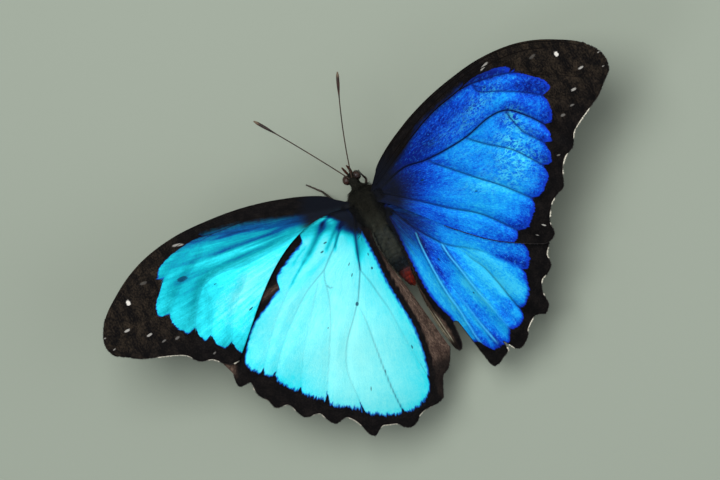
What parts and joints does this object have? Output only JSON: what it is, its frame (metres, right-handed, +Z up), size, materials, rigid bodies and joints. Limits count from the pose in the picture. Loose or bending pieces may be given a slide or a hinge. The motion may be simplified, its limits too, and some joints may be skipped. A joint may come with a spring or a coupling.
{
  "type": "blue morpho butterfly",
  "caption": "Life-size blue morpho butterfly standing still with its blue, black-bordered wings spread open in a shallow V, one forewing torn behind.",
  "frame": {"origin": "on the ground under the middle of the bounding box", "axes": "+Z up, the head towards -Y, the butterfly's right side towards -X"},
  "size_m": [0.1444, 0.0858, 0.0323],
  "materials": {
    "wing_scales": "iridescent blue scales with a near-black border; brown with eyespots below",
    "body_fur": "short dark olive-brown hair",
    "leg_shell": "satin dark brown",
    "eye": "glossy dark brown"
  },
  "bodies": {
    "root": {"thorax": "body_fur", "abdomen_1": "body_fur", "abdomen_2": "body_fur", "abdomen_3": "body_fur", "head": "body_fur", "palp_left": "body_fur", "palp_right": "body_fur", "forewing_left": "wing_scales", "forewing_right": "wing_scales", "hindwing_left": "wing_scales", "hindwing_right": "wing_scales", "foreleg_left": "leg_shell", "foreleg_right": "leg_shell", "middle_leg_left": "leg_shell", "middle_leg_right": "leg_shell", "hind_leg_left": "leg_shell", "hind_leg_right": "leg_shell", "antenna_left": "leg_shell", "antenna_right": "leg_shell", "proboscis": "leg_shell", "eye_left": "eye", "eye_right": "eye"}
  },
  "joints": []
}
